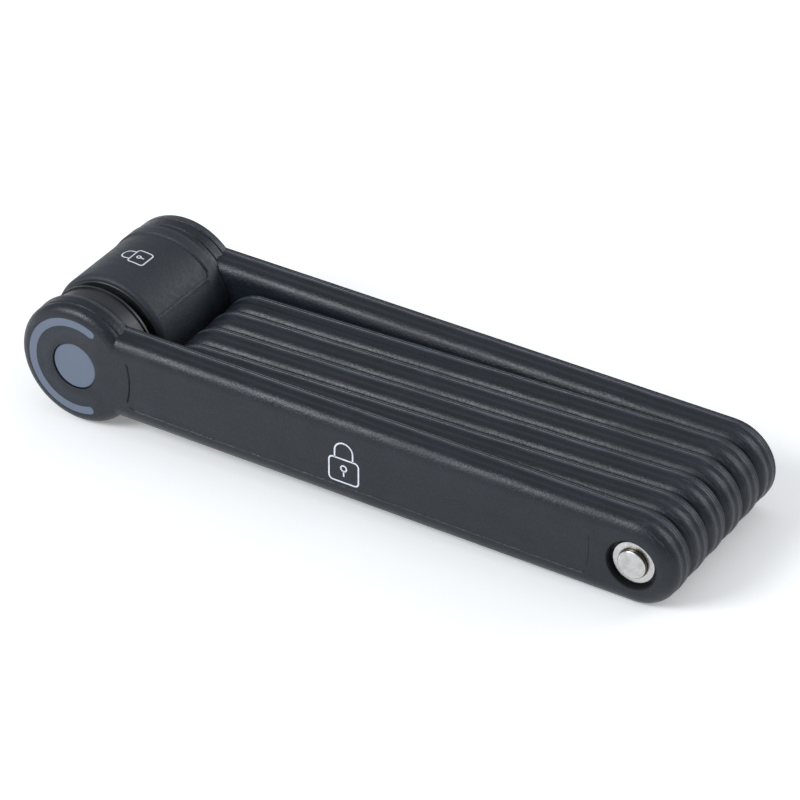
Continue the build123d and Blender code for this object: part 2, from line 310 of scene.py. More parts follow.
# ---- profiles: each level is (depth, how far the link's edge is inset, head radius) ----
def edge_levels():
    """Cross-section of a link's edge: broad rounded front, flat side, mould line, tight back edge."""
    across, deep, roll, hollow = 4.45, 3.2, 0.2, 0.4
    flank = deep + 1.2
    levels = [(deep * (1 - cos), roll + across * (1 - sin)) for cos, sin in quarter_turn(12)]
    for i in range(1, 5):
        levels.append((deep + (flank - deep) * i / 4, roll + (hollow - roll) * soft_step(i / 4)))
    seam = THICKNESS - 2.15
    for i in range(1, 7):
        levels.append((flank + (seam - 0.35 - flank) * i / 6, hollow * (1 - soft_step(i / 6))))
    levels += [(seam - 0.16, 0.0), (seam - 0.05, 0.16), (seam + 0.06, 0.16), (seam + 0.16, 0.04)]
    step = THICKNESS - 1.45
    levels += [(step - 0.1, 0.04), (step - 0.02, 0.13), (step + 0.04, 0.13), (step + 0.12, 0.05)]
    back = 1.15
    start = THICKNESS - back
    return levels + [(start + back * sin, 0.05 + back * (1 - cos)) for cos, sin in quarter_turn(6)]


def interpolate(levels, depth):
    """The value at a depth from a list of (depth, value)."""
    for (y0, a), (y1, b) in zip(levels, levels[1:]):
        if y0 <= depth <= y1:
            return a if y1 == y0 else a + (b - a) * (depth - y0) / (y1 - y0)
    return levels[0][1] if depth < levels[0][0] else levels[-1][1]


def front_head_levels():
    """Head of link 1: rounded front shell, mould groove, flared band, then the step in to the neck."""
    shell, band, neck = 17.2, 17.38, 16.1
    across, deep = 3.1, 2.7
    levels = [(deep * (1 - cos), shell - across * (1 - sin)) for cos, sin in quarter_turn(10)]
    groove = [(2.85, -0.02), (2.95, -0.22), (3.2, -0.24), (3.32, -0.1), (3.6, 0.0), (5.2, 0.08)]
    levels += [(y, shell + rise) for y, rise in groove]
    levels += [(6.4, band), (6.75, band - 0.08), (6.92, band - 0.35), (6.96, neck + 0.1)]
    return levels + [(7.1, neck), (THICKNESS, neck)]


def back_head_levels():
    """Head of link 6: band in line with the sleeve's border, groove, rim groove and rounded back edge."""
    border, head = 17.98, 17.68
    band = [(0.0, 0.0), (1.35, 0.0), (1.58, -0.12), (1.7, -0.6), (1.9, -0.62)]
    rim = [(2.0, -0.12), (2.2, 0.0), (4.95, 0.0), (5.1, -0.25), (5.3, -0.25), (5.45, 0.0)]
    levels = [(y, border + rise) for y, rise in band] + [(y, head + rise) for y, rise in rim]
    edge = 1.9
    start = THICKNESS - edge
    return levels + [(start + edge * sin, head - 0.03 - edge * (1 - cos)) for cos, sin in quarter_turn(9)]


def merged_levels(edge, head):
    """One list of (depth, inset, head radius) with every depth of both profiles."""
    depths = sorted({round(y, 4) for y, _ in edge} | {round(y, 4) for y, _ in head})
    kept = []
    for y in depths:
        if not kept or y - kept[-1] > 0.03 or y == depths[-1]:
            kept.append(y)
    return [(y, interpolate(edge, y), interpolate(head, y)) for y in kept]


# ---- links ----
def well_radii(number, end):
    """Radii of the openings in the front and the back face at one rivet.
    The washer lies on the side of the link that is joined there."""
    joins_next = (number % 2 == 1) == (end == "right")
    return (RIVET_WELL, WASHER_WELL) if joins_next else (WASHER_WELL, RIVET_WELL)


def slim_lower_head(outline, span):
    """The border band stands proud on the upper half of the rear head only."""
    slim = list(outline)
    for i in range(ARC_STEPS + RUN_STEPS + 1, ARC_STEPS + RUN_STEPS + HEAD_STEPS):
        x, z = outline[i][0] + span, outline[i][1]
        radius = math.hypot(x, z)
        limit = LOWER_HEAD + (radius - LOWER_HEAD) * soft_step((z / radius + 0.3) / 0.3)
        scale = min(1.0, limit / radius)
        slim[i] = (x * scale - span, z * scale)
    return slim


def held_on_face(point, x, room, end):
    """Keeps a point of an opening on the flat face, whose edge is `room` from the rivet's axis."""
    dx, z = point[0] - x, point[1]
    if (dx > 0) == (end == "right"):
        scale = min(1.0, room / math.hypot(dx, z))
        return (x + dx * scale, z * scale)
    return (point[0], max(-room, min(room, z)))


def round_wall(skin, x, radius, outer_y, inner_y, lip=0.3, room=99.0, end="right"):
    """Wall of a round opening with a rounded lip. Returns the mouth's outline on the face."""
    way = 1 if inner_y > outer_y else -1
    loops, rings = [], []
    for cos, sin in quarter_turn(4):
        edge = circle(x, radius + lip * (1 - sin))
        loops.append([held_on_face(point, x, room, end) for point in edge])
        rings.append(at_depth(loops[-1], outer_y + way * lip * (1 - cos)))
    rings.append(at_depth(circle(x, radius), inner_y))
    skin.loft(rings)
    return loops[0]


def groove_lines(line, width, depth, lean=0.0):
    """The two edges and the floor of a fine moulded line. With lean, its floor is nearer the left edge."""
    left, floor, right = [], [], []
    for i, point in enumerate(line):
        a = line[max(i - 1, 0)]
        b = line[min(i + 1, len(line) - 1)]
        dx, dz = b[0] - a[0], b[1] - a[1]
        length = math.hypot(dx, dz)
        nx, nz = -dz / length * width / 2, dx / length * width / 2
        left.append((point[0] + nx, point[1] + nz))
        floor.append((point[0] + nx * lean, point[1] + nz * lean))
        right.append((point[0] - nx, point[1] - nz))
    return (left, floor, right, depth)


def label_panel_grooves(span):
    """Fine outline of the front link's label panel: a bowed line at each end and one along the bottom."""
    head_end, right_end, bottom = 17.25 - span, -14.6, -7.2
    bow = 23.0
    heights = [6.9 - 12.6 * i / 14 for i in range(15)]
    left = [(head_end - bow + math.sqrt(bow * bow - (z - 0.8) ** 2), z) for z in heights]
    low = [(head_end - 0.6, -6.3), (head_end + 0.6, -6.92)]
    start = head_end + 2.6
    low += [(start + (right_end - start) * i / 40, bottom) for i in range(41)]
    low += [(-13.0, -7.0), (-12.2, -6.4)]
    right = [(-11.6 - 0.35 * ((z - 0.5) / 5) ** 2, z) for z in [5.0 - 10.0 * i / 10 for i in range(11)]]
    return [
        groove_lines(left, 0.6, 0.34),
        groove_lines(low, 0.46, 0.36, 0.3),
        groove_lines(right, 0.24, 0.1),
    ]


def inlay_outline(grow):
    """Outline of the open ring round the front cap, about the lock axis, grown by so much all round."""
    outer, inner = INLAY_OUTER + grow, INLAY_INNER - grow
    middle, half = (outer + inner) / 2, (outer - inner) / 2
    points = arc_points(0, 0, outer, INLAY_START, INLAY_END, 72)
    end = (middle * math.cos(INLAY_END), middle * math.sin(INLAY_END))
    points += arc_points(end[0], end[1], half, INLAY_END, INLAY_END + math.pi, 10)
    points += arc_points(0, 0, inner, INLAY_END, INLAY_START, 66)
    start = (middle * math.cos(INLAY_START), middle * math.sin(INLAY_START))
    points += arc_points(start[0], start[1], half, INLAY_START + math.pi, INLAY_START + 2 * math.pi, 10)
    return points


def bar_outline(number, span):
    """Outline of the steel bar's pocket."""
    half = RADIUS - EDGE_RUBBER
    if number == 1:
        return link_outline(span, half, FRONT_EYE)
    if number == LINK_COUNT:
        return link_outline(span, half, BACK_EYE)
    return link_outline(span, half)


def link_place(number):
    """From a link's own frame to the CAD frame. Its origin is on its right-hand rivet's axis, at its front
    face, and the link runs towards -X."""
    slope = TILT if number in (1, LINK_COUNT) else 0.0
    spot = Vector((RIGHT.x, FRONT + (number - 1) * PITCH, RIGHT.z))
    return Matrix.Translation(spot) @ Matrix.Rotation(slope, 4, "Y")


def cover_levels(number):
    """The cover's profile: (depth, inset, head radius) from front to back."""
    if number == 1:
        return merged_levels(edge_levels(), front_head_levels())
    if number == LINK_COUNT:
        return merged_levels(edge_levels(), back_head_levels())
    return [(y, inset, None) for y, inset in edge_levels()]


def cover_rings(number, span, face):
    """Outlines of the cover's outside, from front to back."""
    rings = []
    for y, inset, head in cover_levels(number):
        ripple = 0.07 * min(1.0, (THICKNESS - y) / 1.5)
        seed = number * 13.1 + y * 0.12
        outline = link_outline(span, RADIUS - inset, head, ripple, seed)
        if number == LINK_COUNT:
            outline = slim_lower_head(outline, span)
        rings.append(at_depth(outline, max(y, face)))
    return rings


def open_wells(skin, loops, number, span, face):
    """Wells over the rivets and washers, at one end of an outer link and both ends of an inner one."""
    room = RADIUS - edge_levels()[0][1] - 0.15
    for end in ("right",) if number in (1, LINK_COUNT) else ("right", "left"):
        x = 0.0 if end == "right" else -span
        front_radius, back_radius = well_radii(number, end)
        mouth = round_wall(skin, x, front_radius, face, INNER_FRONT, room=room, end=end)
        loops["front"].append(mouth)
        loops["pocket_front"].append(circle(x, front_radius))
        loops["back"].append(round_wall(skin, x, back_radius, THICKNESS, INNER_BACK))
        loops["pocket_back"].append(circle(x, back_radius))


def open_front_head(skin, loops, span, face):
    """Front link's head: the cap's recess, the groove of the open ring and the socket's hole."""
    loops["front"].append(round_wall(skin, -span, CAP_HOLE, face, CAP_FLOOR, 0.18))
    skin.flat([circle(-span, CAP_HOLE)], CAP_FLOOR, 2.0)
    cos, sin = math.cos(TILT), math.sin(TILT)
    ring = [(-span + x * cos - z * sin, x * sin + z * cos) for x, z in inlay_outline(-0.03)]
    loops["front"].append(ring)
    skin.loft([at_depth(ring, face), at_depth(ring, INLAY_DEPTH)])
    skin.flat([ring], INLAY_DEPTH, 2.0)
    hub = circle(-span, HUB_HOLE)
    skin.loft([at_depth(hub, THICKNESS), at_depth(hub, INNER_BACK)])
    loops["back"].append(hub)
    loops["pocket_back"].append(hub)


def open_rear_head(skin, loops, span):
    """Rear link's head: the housing's hole in front and the keyhole bezel's behind."""
    hub = circle(-span, HOUSING_HOLE)
    skin.loft([at_depth(hub, 0.0), at_depth(hub, INNER_FRONT)])
    loops["front"].append(hub)
    loops["pocket_front"].append(hub)
    loops["back"].append(round_wall(skin, -span, BEZEL_HOLE, THICKNESS, INNER_BACK, 0.2))
    loops["pocket_back"].append(circle(-span, BEZEL_HOLE))


def build_cover(number):
    """Rubber cover of one link, hollow round its bar, with every opening."""
    span = OUTER_SPAN if number in (1, LINK_COUNT) else INNER_SPAN
    face = INK_ROOM if number == 1 else 0.0
    rings = cover_rings(number, span, face)
    pocket = bar_outline(number, span)
    loops = {
        "front": [[(x, z) for x, _, z in rings[0]]],
        "back": [[(x, z) for x, _, z in rings[-1]]],
        "pocket_front": [pocket],
        "pocket_back": [pocket],
    }
    skin = Skin()
    skin.loft(rings)
    open_wells(skin, loops, number, span, face)
    if number == 1:
        open_front_head(skin, loops, span, face)
    elif number == LINK_COUNT:
        open_rear_head(skin, loops, span)
    skin.flat(loops["front"], face, grooves=label_panel_grooves(span) if number == 1 else ())
    skin.flat(loops["back"], THICKNESS)
    skin.loft([at_depth(pocket, INNER_FRONT), at_depth(pocket, INNER_BACK)])
    skin.flat(loops["pocket_front"], INNER_FRONT, 5.0)
    skin.flat(loops["pocket_back"], INNER_BACK, 5.0)
    thing = skin.build(f"cover_{number}", link_place(number), sharp=32.0)
    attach(thing, f"link_{number}")
    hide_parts(f"link_cover_{number}")
    return thing


# ---- lock body ----
def panel_distance(angle, depth):
    """Signed distance, in millimetres along the surface, to the label panel's edge: negative inside."""
    across = abs(angle - math.pi / 2) * SLEEVE
    half = (math.pi / 2 - PANEL_EDGE) * SLEEVE
    dx = across - (half - PANEL_CORNER)
    dy = depth - (PANEL_BACK - PANEL_CORNER)
    outside = math.hypot(max(dx, 0.0), max(dy, 0.0))
    return outside + min(max(dx, dy), 0.0) - PANEL_CORNER


def sleeve_radius(angle, depth, base):
    """Sleeve surface: panel, raised border behind it on the upper half, and the line down its side."""
    apart = panel_distance(angle, depth)
    upper = soft_step((math.sin(angle) + 0.3) / 0.3)
    rear = soft_step((depth - 40.0) / 1.0)
    border = (BORDER - SLEEVE) * soft_step((depth - PANEL_BACK + 3.5) / 3.0) * upper
    radius = base + border * soft_step((apart + 0.02) / 0.3)
    groove = 0.16 * rear + 0.05
    radius -= groove * math.exp(-((apart / 0.22) ** 2))
    ridge = 0.1 * soft_step((depth - 24.0) / 16.0) * (1.0 if depth > 38 else 0.55) + 0.05
    radius += ridge * math.exp(-(((apart - 0.45) / 0.4) ** 2)) * (1 - rear) * 0.6
    return min(radius, BORDER)


def spaced(start, stop, step):
    """Numbers from start up to but not including stop."""
    values = []
    while start < stop:
        values.append(start)
        start += step
    return values


def sleeve_angles():
    """Angles round the lock axis, closer together at the panel's edges."""
    angles, turn = [], -math.pi / 2
    while turn < 1.5 * math.pi - 1e-6:
        angles.append(turn)
        near = min(abs(turn - PANEL_EDGE), abs(turn - (math.pi - PANEL_EDGE)))
        turn += math.radians(0.45 if near < math.radians(4) else 1.5)
    return angles


def build_sleeve():
    """Soft sleeve from the nose ring back to the head of link 6."""
    low, high = box_mm("lock_sleeve")
    start, end = low.y - FRONT, high.y - FRONT
    nose_low, nose_high = box_mm("nose_ring")
    nose, nose_back = (nose_high.z - nose_low.z) / 2, nose_high.y - FRONT
    rise = SLEEVE - nose - 0.12
    shoulder = [(start + 1.5 * (1 - cos), SLEEVE - rise * (1 - sin)) for cos, sin in quarter_turn(8)]
    shoulder_end = shoulder[-1][0]
    depths = [depth for depth, _ in shoulder]
    depths += spaced(shoulder_end + 0.5, 39.0, 0.5) + spaced(39.0, 42.6, 0.14) + [43.2, 43.9, end]
    angles = sleeve_angles()

    def around(depth, radii):
        return [(r * math.cos(a), depth, r * math.sin(a)) for a, r in zip(angles, radii)]

    rings = []
    for depth in depths:
        if depth > shoulder_end:
            rings.append(around(depth, [sleeve_radius(angle, depth, SLEEVE) for angle in angles]))
        else:
            rings.append(around(depth, [interpolate(shoulder, depth)] * len(angles)))
    for radius, depth in ((HOUSING_HOLE, end), (HOUSING_HOLE, nose_back), (nose, nose_back), (nose, start)):
        rings.append(around(depth, [radius] * len(angles)))
    rings.append(rings[0])
    skin = Skin()
    skin.loft(rings)
    thing = skin.build("sleeve", lock_place(), sharp=40.0)
    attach(thing, "link_6")
    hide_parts("lock_sleeve")
    return thing


def lock_place():
    """From the lock body's own frame, on the lock axis at the front face's depth, to the CAD frame."""
    return Matrix.Translation(Vector((LOCK.x, FRONT, LOCK.z)))


# ---- printed icon: a plain padlock outline ----
def icon_strokes():
    """Centre lines of a padlock, one unit high, and whether each is closed."""
    half, bottom, top, corner = 0.36, -0.5, 0.08, 0.1
    right, left = half - corner, corner - half
    upper, lower = top - corner, bottom + corner
    body = []
    for x, z, start in ((right, upper, 0), (left, upper, 90), (left, lower, 180), (right, lower, 270)):
        body += arc_points(x, z, corner, math.radians(start), math.radians(start + 105), 7)
    arch = arc_points(0.0, 0.26, 0.22, math.radians(10), math.radians(180), 17)
    shackle = [(0.22, top), (0.22, 0.24), *arch, (-0.22, 0.24), (-0.22, top)]
    keyhole = arc_points(0.0, -0.15, 0.07, 0.0, 2 * math.pi, 12)
    stem = [(0.0, -0.22), (0.0, -0.35)]
    return [(body, True), (shackle, False), (keyhole, True), (stem, False)]


def divided(line, closed, step):
    """The same line with points no further apart than step."""
    fine = []
    count = len(line)
    for i in range(count if closed else count - 1):
        (x, z), after = line[i], line[(i + 1) % count]
        dx, dz = after[0] - x, after[1] - z
        pieces = max(1, math.ceil(math.hypot(dx, dz) / step))
        fine += [(x + dx * k / pieces, z + dz * k / pieces) for k in range(pieces)]
    return fine if closed else fine + [line[-1]]


def ink_strip(skin, line, closed, width, wrap, thickness):
    """A thin printed line with a flat top, wrapped on to its surface."""
    line = divided(line, closed, 0.35)
    count = len(line)
    rails = []
    for i, (x, z) in enumerate(line):
        a = line[(i - 1) % count] if closed or i else line[i]
        b = line[(i + 1) % count] if closed or i < count - 1 else line[i]
        dx, dz = b[0] - a[0], b[1] - a[1]
        length = math.hypot(dx, dz)
        nx, nz = -dz / length * width / 2, dx / length * width / 2
        sides = ((1, thickness), (-1, thickness), (-1, -thickness), (1, -thickness))
        rails.append([wrap(x + way * nx, z + way * nz, lift) for way, lift in sides])
    columns = [skin.ring([rail[k] for rail in rails]) for k in range(4)]
    for k in range(4):
        skin.strip(columns[k], columns[(k + 1) % 4], closed)
    if not closed:
        skin.faces.append(tuple(columns[k][0] for k in range(4)))
        skin.faces.append(tuple(columns[k][-1] for k in reversed(range(4))))


def build_icon(name, body, size, width, wrap, place):
    """The padlock, size high in lines of one width, laid on the surface that wrap describes."""
    skin = Skin()
    for line, closed in icon_strokes():
        scaled = [(x * size, z * size) for x, z in line]
        ink_strip(skin, scaled, closed, width, wrap, 0.02)
    thing = skin.build(name, place, sharp=30.0, weld=0.0005)
    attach(thing, body)
    return thing


def build_icons():
    """One on the middle of the front link's face and one on top of the sleeve."""
    middle, sleeve_middle = 0.4 - OUTER_SPAN / 2, 29.6

    def on_link(x, z, lift):
        return (x + middle, INK_ROOM - lift, z)

    def on_sleeve(x, z, lift):
        angle = math.pi / 2 + z / SLEEVE
        radius = SLEEVE + lift
        return (radius * math.cos(angle), sleeve_middle + x, radius * math.sin(angle))

    return (
        build_icon("face_icon", "link_1", 12.0, 0.42, on_link, link_place(1)),
        build_icon("body_icon", "link_6", 8.0, 0.36, on_sleeve, lock_place()),
    )


# ---- materials ----
class Paint:
    """One material under construction: its shader and helpers that add nodes before it."""

    def __init__(self, name):
        self.material = bpy.data.materials.new(name)
        self.material.use_nodes = True
        self.tree = self.material.node_tree
        self.shader = self.tree.nodes["Principled BSDF"]
        self.place = self.node("TexCoord").outputs["Object"]

    def node(self, kind):
        return self.tree.nodes.new("ShaderNode" + kind)

    def feed(self, value, socket):
        """Links an output to a socket, or sets the socket to a plain number."""
        if isinstance(value, (int, float)):
            socket.default_value = value
        else:
            self.tree.links.new(value, socket)

    def set(self, name, value):
        self.feed(value, self.shader.inputs[name])

    def axes(self, vector):
        """The three parts of a vector."""
        node = self.node("SeparateXYZ")
        self.feed(vector, node.inputs["Vector"])
        return node.outputs["X"], node.outputs["Y"], node.outputs["Z"]

    def noise(self, size, detail=2.0, roughness=0.5, stretch=None, place=None):
        """Noise whose features are about size millimetres across."""
        source = self.place if place is None else place
        node = self.node("TexNoise")
        node.inputs["Scale"].default_value = 1 / (size * MM)
        node.inputs["Detail"].default_value = detail
        node.inputs["Roughness"].default_value = roughness
        if stretch is not None:
            mapping = self.node("Mapping")
            mapping.inputs["Scale"].default_value = stretch
            self.feed(source, mapping.inputs["Vector"])
            source = mapping.outputs["Vector"]
        self.feed(source, node.inputs["Vector"])
        return node.outputs["Fac"]

    def ramp(self, source, low, high, start=0.35, end=0.65):
        """Maps values from start to end on to the range from low to high, and holds them beyond it."""
        node = self.node("MapRange")
        settings = {"From Min": start, "From Max": end, "To Min": low, "To Max": high, "Value": source}
        for name, value in settings.items():
            self.feed(value, node.inputs[name])
        return node.outputs["Result"]

    def mix(self, factor, low, high):
        """A colour from low, at 0, to high, at 1."""
        node = self.node("Mix")
        node.data_type = "RGBA"
        for socket, value in ((6, low), (7, high)):
            if isinstance(value, tuple):
                node.inputs[socket].default_value = (*value, 1.0)
            else:
                self.feed(value, node.inputs[socket])
        self.feed(factor, node.inputs["Factor"])
        return node.outputs[2]

    def calc(self, operation, a, b=0.0):
        node = self.node("Math")
        node.operation = operation
        self.feed(a, node.inputs[0])
        self.feed(b, node.inputs[1])
        return node.outputs[0]

    def bumps(self, layers):
        """Stacks bumps; each layer is (height, strength, distance in millimetres)."""
        normal = None
        for height, strength, distance in layers:
            node = self.node("Bump")
            node.inputs["Strength"].default_value = strength
            node.inputs["Distance"].default_value = distance * MM
            self.feed(height, node.inputs["Height"])
            if normal is not None:
                self.feed(normal, node.inputs["Normal"])
            normal = node.outputs["Normal"]
        self.set("Normal", normal)

    def worn_edges(self):
        """0 on flat and hollow places, 1 on exposed edges."""
        return self.ramp(self.node("NewGeometry").outputs["Pointiness"], 0.0, 1.0, 0.515, 0.56)


def seam_band(paint):
    """1 along the mould seam of every link and 0 elsewhere: the mask for pale seam streaks, partly paler
    rubber and partly a painted highlight.
    """
    _, y, _ = paint.axes(paint.place)
    turn = paint.calc("DIVIDE", paint.calc("SUBTRACT", y, FRONT * MM), PITCH * MM)
    part = paint.calc("MODULO", turn, 1.0)
    seam = (THICKNESS - 2.35) / PITCH
    apart = paint.calc("ABSOLUTE", paint.calc("SUBTRACT", part, seam))
    return paint.ramp(apart, 1.0, 0.0, 0.03, 0.09)


def valley_shade_mask(paint):
    """Mask for painted shade: 1 on the edges that meet between neighbouring links, where light hardly
    reaches, and 0 elsewhere.
    """
    x, y, _ = paint.axes(paint.place)
    turn = paint.calc("DIVIDE", paint.calc("SUBTRACT", y, (FRONT + THICKNESS) * MM), PITCH * MM)
    part = paint.calc("FLOORED_MODULO", paint.calc("ADD", turn, 0.5), 1.0)
    apart = paint.calc("ABSOLUTE", paint.calc("SUBTRACT", part, 0.5))
    band = paint.ramp(apart, 1.0, 0.0, 0.085, 0.14)
    _, facing, _ = paint.axes(paint.node("NewGeometry").outputs["Normal"])
    on_edge = paint.ramp(paint.calc("ABSOLUTE", facing), 1.0, 0.0, 0.8, 0.93)
    behind_face = paint.calc("GREATER_THAN", y, (FRONT + THICKNESS / 2) * MM)
    beside_lock = paint.calc("GREATER_THAN", x, (LOCK.x + 20) * MM)
    for gate in (on_edge, behind_face, beside_lock):
        band = paint.calc("MULTIPLY", band, gate)
    return band


def pivot_distance(paint):
    """Distance, in metres, to the nearer of the two lines of rivets."""
    x, y, z = paint.axes(paint.place)
    away = []
    for pivot in (RIGHT, LEFT):
        dx = paint.calc("SUBTRACT", x, pivot.x * MM)
        dz = paint.calc("SUBTRACT", z, pivot.z * MM)
        squares = paint.calc("ADD", paint.calc("MULTIPLY", dx, dx), paint.calc("MULTIPLY", dz, dz))
        away.append(paint.calc("POWER", squares, 0.5))
    right, left = away
    before = paint.calc("LESS_THAN", y, (FRONT + PITCH - 0.2) * MM)
    behind = paint.calc("GREATER_THAN", y, (FRONT + (LINK_COUNT - 1) * PITCH - 0.2) * MM)
    left = paint.calc("ADD", left, paint.calc("ADD", before, behind))
    return paint.calc("MINIMUM", right, left)


def end_scuffs_and_sheen(paint):
    """Fine rub marks round the upper part of the links' right-hand ends, and 0 elsewhere; they sit where
    the ends catch the light, so they are partly a painted highlight.
    """
    x, y, z = paint.axes(paint.place)
    dx = paint.calc("SUBTRACT", x, RIGHT.x * MM)
    dz = paint.calc("SUBTRACT", z, RIGHT.z * MM)
    turn = paint.calc("ARCTAN2", dz, dx)
    polar = paint.node("CombineXYZ")
    paint.feed(paint.calc("MULTIPLY", turn, 0.0011), polar.inputs["X"])
    paint.feed(y, polar.inputs["Y"])
    marks = paint.ramp(paint.noise(0.34, 4.0, 0.7, place=polar.outputs[0]), 0.0, 1.0, 0.5, 0.68)
    off_centre = paint.calc("ABSOLUTE", paint.calc("SUBTRACT", turn, 1.0))
    where = paint.ramp(off_centre, 1.0, 0.0, 0.25, 0.95)
    outside = paint.ramp(pivot_distance(paint), 0.0, 1.0, 0.0098, 0.0112)
    return paint.calc("MULTIPLY", paint.calc("MULTIPLY", marks, where), outside)


def paler(colour, factor, lift):
    return tuple(min(1.0, c * factor + lift) for c in colour)


def rubber(name, dark, light, gloss, grain=0.5, wear=0.35, of_links=True):
    """Moulded black rubber: fine grain, slow unevenness, faint scuffs and paler rubbed edges. On links it
    also has near-black painted shade in the rivet wells and between neighbouring links, and pale seam
    streaks and end rub marks that are partly a painted highlight.
    """
    paint = Paint(name)
    fine = paint.noise(grain, 3.0, 0.6)
    slow = paint.noise(9.0, 3.0)
    broad = paint.noise(38.0)
    scuff = paint.noise(1.6, 4.0, 0.65, (0.12, 1.0, 1.0))
    rubbed = paler(light, 2.2, 0.01)
    colour = paint.mix(paint.ramp(slow, 0.0, 1.0), dark, light)
    colour = paint.mix(paint.calc("MULTIPLY", paint.worn_edges(), wear), colour, rubbed)
    colour = paint.mix(paint.ramp(fine, 0.0, 0.4, 0.55, 0.72), colour, rubbed)
    shine = paint.ramp(broad, gloss - 0.04, gloss + 0.05)
    shine = paint.calc("ADD", shine, paint.ramp(scuff, -0.05, 0.06, 0.4, 0.7))
    layers = [(slow, 0.25, 0.3), (scuff, 0.15, 0.05), (fine, 0.8, 0.12)]
    if of_links:
        # Pale seam streaks: partly the seam's paler rubber, partly a painted highlight where the seam bead
        # catches the light.
        pale_wear_and_sheen = paler(light, 3.5, 0.045)
        seam_streaks_and_sheen = paint.ramp(scuff, 0.1, 0.85, 0.35, 0.7)
        colour = paint.mix(paint.calc("MULTIPLY", seam_band(paint), seam_streaks_and_sheen), colour, pale_wear_and_sheen)
        # Pale rub marks on the right-hand ends: partly real scuffing, partly a painted highlight where the
        # ends catch the light.
        rubs_and_sheen = end_scuffs_and_sheen(paint)
        colour = paint.mix(paint.calc("MULTIPLY", rubs_and_sheen, 0.6), colour, pale_wear_and_sheen)
        layers.append((rubs_and_sheen, 0.2, 0.03))
        # Painted shade: the rubber in the rivet wells and in the valleys between links is darkened to near
        # black and made rougher.
        well = paint.ramp(pivot_distance(paint), 1.0, 0.0, 0.0068, 0.0071)
        painted_shade = paint.calc("MAXIMUM", valley_shade_mask(paint), well)
        colour = paint.mix(painted_shade, colour, (0.003, 0.003, 0.004))
        shine = paint.calc("ADD", shine, paint.calc("MULTIPLY", painted_shade, 0.4))
    paint.set("Base Color", colour)
    paint.set("Roughness", paint.calc("ADD", shine, paint.ramp(fine, -0.05, 0.05)))
    paint.set("IOR", 1.42)
    paint.bumps(layers)
    return paint.material


def plastic(name, dark, light, gloss, grain=0.25):
    """Satin moulded plastic with a very fine texture and slight colour drift."""
    paint = Paint(name)
    fine = paint.noise(grain, 3.0, 0.6)
    slow = paint.noise(6.0, 3.0)
    colour = paint.mix(paint.ramp(slow, 0.0, 1.0), dark, light)
    colour = paint.mix(paint.calc("MULTIPLY", paint.worn_edges(), 0.5), colour, paler(light, 1.25, 0.01))
    paint.set("Base Color", colour)
    shine = paint.ramp(slow, gloss - 0.04, gloss + 0.05)
    paint.set("Roughness", paint.calc("ADD", shine, paint.ramp(fine, -0.04, 0.04)))
    paint.bumps([(slow, 0.1, 0.1), (fine, 0.3, 0.02)])
    return paint.material


def metal(name, dark, light, gloss, turned=False, scratches=0.4, crease_shade=None):
    """Machined metal: tonal drift, fine directional marks or turning rings, and small scratches.
    Given a distance, in millimetres, from a rivet's axis, a dark brownish ring of painted shade lies there,
    such as in the crease at the foot of a rivet's boss."""
    paint = Paint(name)
    paint.set("Metallic", 1.0)
    slow = paint.noise(2.4, 3.0)
    fine = paint.noise(0.12, 2.0, 0.6)
    lines = paint.noise(0.7, 4.0, 0.6, (1.0, 0.1, 4.0) if turned else (0.08, 1.0, 1.6))
    colour = paint.mix(paint.ramp(slow, 0.0, 1.0), dark, light)
    colour = paint.mix(paint.ramp(lines, 0.0, scratches, 0.5, 0.75), colour, tuple(c * 0.55 for c in dark))
    if crease_shade is not None:
        away = pivot_distance(paint)
        inner = paint.ramp(away, 0.0, 1.0, (crease_shade - 0.12) * MM, (crease_shade - 0.04) * MM)
        outer = paint.ramp(away, 1.0, 0.0, (crease_shade + 0.1) * MM, (crease_shade + 0.35) * MM)
        # Painted shade: the ring is darkened to a dark brown.
        colour = paint.mix(paint.calc("MULTIPLY", inner, outer), colour, (0.13, 0.11, 0.09))
    paint.set("Base Color", colour)
    shine = paint.ramp(slow, gloss - 0.06, gloss + 0.08)
    paint.set("Roughness", paint.calc("ADD", shine, paint.ramp(lines, -0.05, 0.08)))
    paint.bumps([(slow, 0.25, 0.06), (lines, 0.25, 0.02), (fine, 0.2, 0.006)])
    return paint.material


def ink(name):
    """Off-white pad-printed ink, slightly broken up by the grain under it."""
    paint = Paint(name)
    fine = paint.noise(0.3, 3.0, 0.6)
    slow = paint.noise(3.0)
    colour = paint.mix(paint.ramp(slow, 0.0, 1.0), (0.62, 0.65, 0.72), (0.74, 0.77, 0.83))
    colour = paint.mix(paint.ramp(fine, 0.0, 1.0, 0.62, 0.72), colour, (0.3, 0.32, 0.37))
    paint.set("Base Color", colour)
    paint.set("Roughness", paint.ramp(fine, 0.45, 0.6))
    paint.bumps([(fine, 0.3, 0.02)])
    return paint.material


